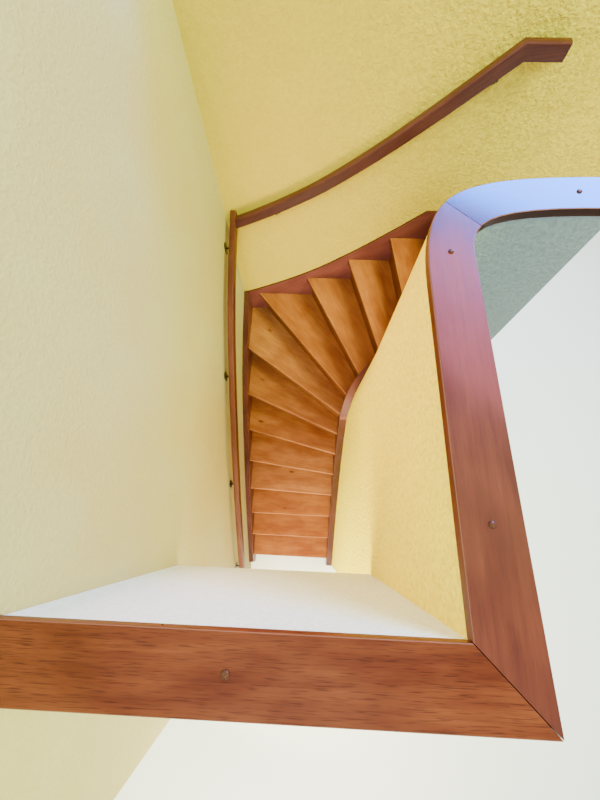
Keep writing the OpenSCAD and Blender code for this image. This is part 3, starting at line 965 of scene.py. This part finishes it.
@dataclass
class Strings:
    """Housed strings: two on the outer walls, and the inner one with its curved stretch.

    Attributes:
        boards: The strings, with grain that climbs as they do.
        arris: Width of the eased upper edges.
        near: How near in plan a corner is looked for, and how far under the highest of them an
            edge may lie and still be an upper one.
        upwards: Least height of the normal of a face that looks up.
        seeds: Seeds of the patterns.
    """

    boards: tuple[Board, ...] = (
        Board("string_left", (0.0, 1.0, 0.75), STRING_WOOD),
        Board("string_far", (1.0, 0.0, 0.72), STRING_WOOD),
        Board("string_inner_lower", (0.0, 1.0, 1.15), STRING_WOOD),
        Board("string_inner_wreath", (0.55, 0.55, 1.0), STRING_WOOD),
        Board("string_inner_upper", (1.0, 0.0, 1.0), STRING_WOOD),
    )
    arris: float = 0.003
    near: float = 0.075
    upwards: float = 0.25
    seeds: Seeds = Seeds(2.17, 0.9)

    def build(self) -> None:
        """Eases the upper edges of each string and dresses it."""
        for number, board in enumerate(self.boards):
            piece = copy_nodes(f"{board.name}_board", [board.name])
            corners = corners_of(frame["nodes"][board.name].data)
            ease_edges(piece, self.arris, lambda edge: sharp(edge) and self.on_top(edge, corners))
            smooth(piece)
            material = board.finish.make(board.name, Vector(board.grain), self.seeds.of(number))
            finish_piece(piece, Slot.STRING_WOOD, material)

    def on_top(self, edge: Edge, corners: np.ndarray) -> bool:
        """Tells whether an edge lies along the upper outline of a string.

        Args:
            edge: The edge.
            corners: Corners of the string's node.

        Returns:
            True where the edge is close under the highest corner nearby and a face beside it looks up.
        """
        middle = (edge.verts[0].co + edge.verts[1].co) / 2.0
        reach = np.hypot(corners[:, 0] - middle.x, corners[:, 1] - middle.y)
        close = corners[reach < self.near]
        looks_up = any(face.normal.z > self.upwards for face in edge.link_faces)
        return looks_up and len(close) > 0 and middle.z > close[:, 2].max() - self.near


@dataclass
class Handrails:
    """Two wall handrails on iron brackets.

    Attributes:
        rails: The rails, with the level direction in which each one runs.
        brackets: Names of the brackets' nodes.
        rail_crease: Angle over which a rail's edge stays sharp.
        bracket_crease: Angle over which a bracket's edge stays sharp.
        bracket_arris: Width of the brackets' eased edges.
        bracket_corner: Least angle of an edge that is eased.
        curve_degree: Degree of the curve through a rail's side view.
        curve_samples: Number of points at which its length is added up.
        seeds: Seeds of the rails' patterns.
    """

    rails: tuple[Board, ...] = (
        Board("handrail_left", (0.0, 1.0, 0.0), RAIL_WOOD),
        Board("handrail_far", (1.0, 0.0, 0.0), DARK_RAIL_WOOD),
    )
    brackets: tuple[str, ...] = ("brackets_left", "brackets_far")
    rail_crease: float = 40.0
    bracket_crease: float = 35.0
    bracket_arris: float = 0.0012
    bracket_corner: float = 60.0
    curve_degree: int = 5
    curve_samples: int = 200
    seeds: Seeds = Seeds(1.9, 0.3)

    def build(self) -> None:
        """Dresses the rails with grain that follows them, and the brackets."""
        for number, rail in enumerate(self.rails):
            piece = copy_nodes(f"{rail.name}_wood", [rail.name])
            self.unroll(piece, rail.grain.index(1.0))
            smooth(piece, self.rail_crease)
            along = Vector((1.0, 0.0, 0.0))
            material = rail.finish.make(rail.name, along, self.seeds.of(number), Coordinates.UV)
            finish_piece(piece, Slot.RAIL_WOOD, material)
        for name in self.brackets:
            piece = copy_nodes(f"{name}_iron", [name])
            ease_edges(piece, self.bracket_arris, lambda edge: sharp(edge, self.bracket_corner), 2)
            smooth(piece, self.bracket_crease)
            finish_piece(piece, Slot.BRACKET_METAL, BLACK_IRON.make(name))

    def unroll(self, piece: Object, axis: int) -> None:
        """Maps a rail's surface in metres, along its own curve and round its section.

        Args:
            piece: The rail.
            axis: Axis along which it runs in plan, 0 for X and 1 for Y.
        """
        points = corners_of(piece.data)
        run, height, side = points[:, axis], points[:, 2], points[:, 1 - axis]
        curve = np.polynomial.Polynomial.fit(run, height, self.curve_degree)
        grid = np.linspace(run.min(), run.max(), self.curve_samples)
        length = np.concatenate([[0.0], np.cumsum(np.hypot(np.diff(grid), np.diff(curve(grid))))])
        along = np.interp(run, grid, length)
        over = (height - curve(run)) + (side - side.min())
        layer = piece.data.uv_layers.new(name="grain")
        for loop in piece.data.loops:
            layer.data[loop.index].uv = (along[loop.vertex_index], over[loop.vertex_index])
        piece.data.uv_layers.active = layer
        layer.active_render = True


@dataclass
class Capping:
    """Boards that cap the near wall and the parapet, with domed screws and a small pin.

    Attributes:
        boards: The three boards.
        arris: Width of the eased edges.
        crease: Angle over which an edge stays sharp.
        corner: Least angle of an edge that is eased.
        joint_gap: How far each board stays back from the plane of a joint.
        joint_area: Least area of a joint's face in square metres.
        slack: How far a joint's slant may be from 45 degrees, as a part of its normal.
        level: Greatest difference in height between the ends of a level edge.
        seeds: Seeds of the patterns.
        screw_radius: Radius of a screw's head.
        screw_height: Height of a screw's head over the board.
        screw_rim: Height of the head's upright rim.
        screw_angles: Steps of the head's dome, in degrees from its foot.
        screw_sides: Number of sides of a screw's head.
        front_screw: Distance of the front board's screw from the board's left end.
        side_screws: Distances of the side board's screws from the near edge of the front one.
        return_screw: Distance of the return's screw from the return's far end.
        pin_place: Distance of the pin from the front board's left end.
        pin_radius: Radius of the pin.
        pin_depth: Length of the pin, half of which is in the board.
        pin_dish: Width and height of the step round the pin's face.
        pin_sides: Number of sides of the pin.
        pin_facing: Least part along +Y of the normal of the pin's own face.
        crease_round: Angle over which an edge of a screw or pin stays sharp.
    """

    boards: tuple[Board, ...] = (
        Board("capping_front", (1.0, 0.0, 0.0), CAPPING_WOOD),
        Board("capping_side", (0.0, 1.0, 0.0), SIDE_CAPPING_WOOD),
        Board("capping_return", (1.0, 0.12, 0.0), RETURN_CAPPING_WOOD),
    )
    arris: float = 0.0035
    crease: float = 30.0
    corner: float = 60.0
    joint_gap: float = 0.0009
    joint_area: float = 0.002
    slack: float = 1e-4
    level: float = 1e-5
    seeds: Seeds = Seeds(1.37, 0.2)
    screw_radius: float = 0.0075
    screw_height: float = 0.0045
    screw_rim: float = 0.001
    screw_angles: tuple[float, ...] = (0.0, 20.0, 40.0, 58.0, 74.0, 84.0)
    screw_sides: int = 32
    front_screw: float = 0.440
    side_screws: tuple[float, float] = (0.324, 1.007)
    return_screw: float = 0.107
    pin_place: float = 0.3145
    pin_radius: float = 0.0022
    pin_depth: float = 0.0012
    pin_dish: tuple[float, float] = (0.0007, 0.0004)
    pin_sides: int = 20
    pin_facing: float = 0.9
    crease_round: float = 60.0

    def build(self) -> None:
        """Eases and dresses the boards, and sets the screws and the pin."""
        for number, board in enumerate(self.boards):
            piece = copy_nodes(f"{board.name}_board", [board.name])
            ease_edges(piece, self.arris, self.level_edge)
            self.open_joint(piece)
            smooth(piece, self.crease)
            material = board.finish.make(board.name, Vector(board.grain), self.seeds.of(number))
            finish_piece(piece, Slot.CAPPING_WOOD, material)
        for number, place in enumerate(self.screw_places(), 1):
            self.screw(number, place)
        self.pin()

    def screw_places(self) -> list[Vector]:
        """Works out the screws' places on the middle lines of the boards.

        Returns:
            The places on the boards' tops, from the front board to the return.
        """
        low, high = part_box("capping_front")
        _, end_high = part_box("capping_return")
        half = (high.y - low.y) / 2.0
        return [
            Vector((low.x + self.front_screw, low.y + half, high.z)),
            *(Vector((high.x - half, low.y + run, high.z)) for run in self.side_screws),
            Vector((end_high.x - self.return_screw, end_high.y - half, high.z)),
        ]

    def level_edge(self, edge: Edge) -> bool:
        """Tells whether an edge is level, sharp and no part of a joint between two boards.

        Args:
            edge: The edge.

        Returns:
            True where it is to be eased.
        """
        level = abs(edge.verts[0].co.z - edge.verts[1].co.z) < self.level
        return sharp(edge, self.corner) and level and not any(map(self.joint_face, edge.link_faces))

    def joint_face(self, face: Face) -> bool:
        """Tells whether a face is a board's joint, all of which are cut at 45 degrees in plan.

        Args:
            face: The face.

        Returns:
            True where it is large enough and looks along the slant.
        """
        slant = abs(face.normal.dot(Vector((1.0, 1.0, 0.0))))
        return face.calc_area() > self.joint_area and abs(slant - math.sqrt(2.0)) < self.slack

    def open_joint(self, piece: Object) -> None:
        """Draws a board's joint faces back by a hair, so that each joint shows as a fine dark line.

        Args:
            piece: The board.
        """
        pick(piece)
        bpy.ops.object.mode_set(mode="EDIT")
        skin = bmesh.from_edit_mesh(piece.data)
        for number in range(len(skin.faces)):
            skin.faces.ensure_lookup_table()
            face = skin.faces[number]
            if self.joint_face(face):
                select_faces(piece, lambda other: other.index == number)
                bpy.ops.transform.translate(value=face.normal * -self.joint_gap)
        bpy.ops.object.mode_set(mode="OBJECT")

    def screw(self, number: int, place: Vector) -> None:
        """Models one domed screw head, seated on the capping.

        Args:
            number: Number of the screw, for its name.
            place: Place of its foot on the capping.
        """
        middle = place + Vector((0.0, 0.0, self.screw_rim / 2.0))
        name = f"capping_screw_{number}"
        head = self.disc(name, self.screw_sides, self.screw_radius, self.screw_rim, middle)
        angles = [math.radians(degrees) for degrees in self.screw_angles]
        for last, angle in zip(angles, angles[1:]):
            lift = (math.sin(angle) - math.sin(last)) * (self.screw_height - self.screw_rim)
            share = math.cos(angle) / math.cos(last)
            top = max(face.calc_center_median().z for face in bmesh.from_edit_mesh(head.data).faces)
            select_faces(head, lambda face: face.calc_center_median().z == top)
            bpy.ops.mesh.extrude_region_move(TRANSFORM_OT_translate={"value": (0.0, 0.0, lift)})
            bpy.ops.transform.resize(value=(share, share, 1.0), center_override=place)
        self.finish_disc(head, BRONZED_METAL.make(f"{number}"))

    def pin(self) -> None:
        """Models the small pin in the face of the front board that looks into the well."""
        low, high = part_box("capping_front")
        place = Vector((low.x + self.pin_place, high.y, (low.z + high.z) / 2.0))
        turn = (math.radians(-90.0), 0.0, 0.0)
        pin = self.disc("capping_pin", self.pin_sides, self.pin_radius, self.pin_depth, place, turn)
        select_faces(pin, lambda face: face.normal.y > self.pin_facing)
        thickness, depth = self.pin_dish
        bpy.ops.mesh.inset(thickness=thickness, depth=depth)
        self.finish_disc(pin, BLACK_IRON.make("pin"))

    @staticmethod
    def disc(
        name: str, sides: int, radius: float, depth: float, place: Vector, turn: Triple = ZERO
    ) -> Object:
        """Starts a round piece as a short cylinder.

        Args:
            name: Name of the piece.
            sides: Number of sides.
            radius: Radius in metres.
            depth: Length in metres.
            place: Place of its middle.
            turn: Turn of its axis.

        Returns:
            The piece, in edit mode.
        """
        deselect()
        bpy.ops.mesh.primitive_cylinder_add(
            vertices=sides, radius=radius, depth=depth, location=place, rotation=turn
        )
        piece = bpy.context.object
        piece.name = name
        bpy.ops.object.transform_apply(location=True, rotation=True, scale=True)
        bpy.ops.object.mode_set(mode="EDIT")
        return piece

    def finish_disc(self, piece: Object, material: Material) -> None:
        """Leaves edit mode, and smooths and dresses a round piece.

        Args:
            piece: The piece.
            material: Its material.
        """
        bpy.ops.object.mode_set(mode="OBJECT")
        smooth(piece, self.crease_round)
        finish_piece(piece, Slot.CAPPING_WOOD, material)


@dataclass(frozen=True)
class Panel:
    """One soft light.

    Attributes:
        name: Name of the light.
        place: Where it hangs.
        aim: Where it points.
        size: Width and height in metres.
        power: Power in watts.
        colour: Colour of the light.
        seen: Whether glossy faces mirror it.
    """

    name: str
    place: Triple
    aim: Triple
    size: tuple[float, float]
    power: float
    colour: Colour = (1.0, 1.0, 1.0)
    seen: bool = False

    def hang(self) -> None:
        """Adds the light to the scene."""
        data = bpy.data.lights.new(self.name, "AREA")
        data.shape = "RECTANGLE"
        data.size, data.size_y = self.size
        data.energy = self.power
        data.color = self.colour
        lamp = bpy.data.objects.new(self.name, data)
        lamp.location = self.place
        lamp.rotation_euler = (Vector(self.aim) - Vector(self.place)).to_track_quat("-Z", "Y").to_euler()
        lamp.visible_glossy = self.seen
        lamp.visible_camera = False
        bpy.context.scene.collection.objects.link(lamp)


@dataclass
class Studio:
    """Floor, lights and the camera of the photograph.

    Attributes:
        floor_size: Width of the floor in metres.
        floor_tones: The two colours of the floor.
        floor_roughness: Roughness of the floor.
        cloud_size: Width of the floor's clouds of tone in metres.
        fill: Strength of the even light from all round.
        panels: The soft lights round and over the stairwell.
        eye: Place of the camera.
        focal_pixels: Focal length in pixels of the photograph.
        picture: Width and height of the photograph in pixels.
        sensor: Width of the camera's sensor in millimetres.
        tilt: Turn from straight down about the picture's level axis, in radians.
        roll: Turn about the picture's upright axis, in radians.
        turn: Turn about the line of sight, in radians.
    """

    floor_size: float = 60.0
    floor_tones: tuple[Colour, Colour] = ((0.70, 0.71, 0.72), (0.74, 0.75, 0.76))
    floor_roughness: float = 0.8
    cloud_size: float = 1.5
    fill: float = 0.8
    panels: tuple[Panel, ...] = (
        Panel("panel_window", (2.2, 3.9, 5.74), (0.0, 0.2, 3.2), (3.0, 1.1), 815.0, (0.013, 0.20, 1.0),
              seen=True),
        Panel("panel_ceiling", (2.2, 2.6, 7.3), (0.0, 0.0, 3.4), (2.8, 1.8), 165.0, (1.0, 0.23, 0.26),
              seen=True),
        Panel("panel_left", (-3.5, 0.25, 8.5), (-0.4, 0.25, 2.0), (2.5, 2.5), 300.0, (0.87, 1.0, 0.68)),
        Panel("panel_right", (2.5, 0.05, 7.5), (-1.0, 0.25, 2.5), (2.5, 2.5), 1270.0, (0.87, 1.0, 0.235)),
        Panel("panel_front", (-0.4, -3.75, 7.5), (-0.4, 1.25, 2.5), (2.5, 2.5), 625.0, (0.69, 1.0, 0.94)),
        Panel("panel_back", (-0.6, 4.25, 8.0), (-0.6, -0.75, 2.8), (2.5, 2.5), 62.0, (1.0, 0.97, 0.79)),
        Panel("panel_foot", (-0.57, -4.2, 1.6), (-0.57, 0.05, 0.6), (2.0, 2.0), 275.0, (1.0, 0.75, 0.50)),
        Panel("panel_entrance", (-0.85, -2.0, 1.7), (-0.2, -0.2, 1.1), (1.2, 1.6), 205.0, (1.0, 0.85, 0.46)),
        Panel("panel_well", (-0.97, 0.2, 3.05), (0.0, 0.2, 3.05), (1.5, 1.0), 20.0, (1.0, 0.44, 0.51)),
        Panel("panel_side", (-5.6, 0.1, 1.9), (-1.1, 0.1, 1.9), (3.2, 2.4), 380.0, (1.0, 0.97, 0.94)),
        Panel("panel_rear", (0.1, 6.2, 1.9), (0.1, 1.4, 1.9), (3.2, 2.4), 380.0, (1.0, 0.97, 0.94)),
    )
    eye: Vector = field(default_factory=lambda: Vector((-0.4562, -0.5707, 4.1216)))
    focal_pixels: float = 338.35
    picture: tuple[int, int] = (600, 800)
    sensor: float = 36.0
    tilt: float = -0.3632
    roll: float = 0.0244
    turn: float = 0.0348

    def build(self) -> None:
        """Sets everything up."""
        self.floor()
        self.world()
        for panel in self.panels:
            panel.hang()
        self.camera()

    def floor(self) -> None:
        """Lays the pale floor."""
        deselect()
        bpy.ops.mesh.primitive_plane_add(size=self.floor_size, location=(0.0, 0.0, 0.0))
        plane = bpy.context.object
        plane.name = "studio_floor"
        tree = Sketch("studio_floor")
        cloud = tree.noise(tree.stretch(tree.place(Coordinates.OBJECT), (self.cloud_size,) * 3), detail=2.0)
        tones = tree.mix("MIX", cloud, *self.floor_tones)
        tree.fill(tree.shader, {"Base Color": tones, "Roughness": self.floor_roughness})
        plane.data.materials.append(tree.material)

    def world(self) -> None:
        """Fills the shadows with an even light."""
        world = bpy.data.worlds.new("studio")
        world.use_nodes = True
        background = world.node_tree.nodes["Background"]
        background.inputs["Color"].default_value = (1.0, 1.0, 1.0, 1.0)
        background.inputs["Strength"].default_value = self.fill
        bpy.context.scene.world = world

    def camera(self) -> None:
        """Puts the camera where the photograph was taken."""
        data = bpy.data.cameras.new("photo_camera")
        data.sensor_fit = "AUTO"
        data.sensor_width = self.sensor
        data.lens = self.focal_pixels / max(self.picture) * self.sensor
        data.clip_start = 0.02
        camera = bpy.data.objects.new("photo_camera", data)
        # The picture starts straight down with its top towards +Y, then tilts, rolls and turns
        down = Matrix(((1.0, 0.0, 0.0), (0.0, -1.0, 0.0), (0.0, 0.0, -1.0)))
        rows = (
            Matrix.Rotation(self.turn, 3, "Z") @ Matrix.Rotation(self.roll, 3, "Y")
            @ Matrix.Rotation(self.tilt, 3, "X") @ down
        )
        axes = Matrix((rows[0], -rows[1], -rows[2])).transposed()
        camera.matrix_world = Matrix.Translation(self.eye) @ axes.to_4x4()
        bpy.context.scene.collection.objects.link(camera)
        bpy.context.scene.camera = camera


def main() -> None:
    """Builds every sub-assembly."""
    logging.basicConfig(level=logging.INFO, format="%(name)s: %(message)s")
    for part in (Studio(), Walls(), Steps(), Strings(), Handrails(), Capping()):
        LOG.info("building %s", type(part).__name__)
        part.build()
    deselect()


if __name__ == "__main__":
    main()
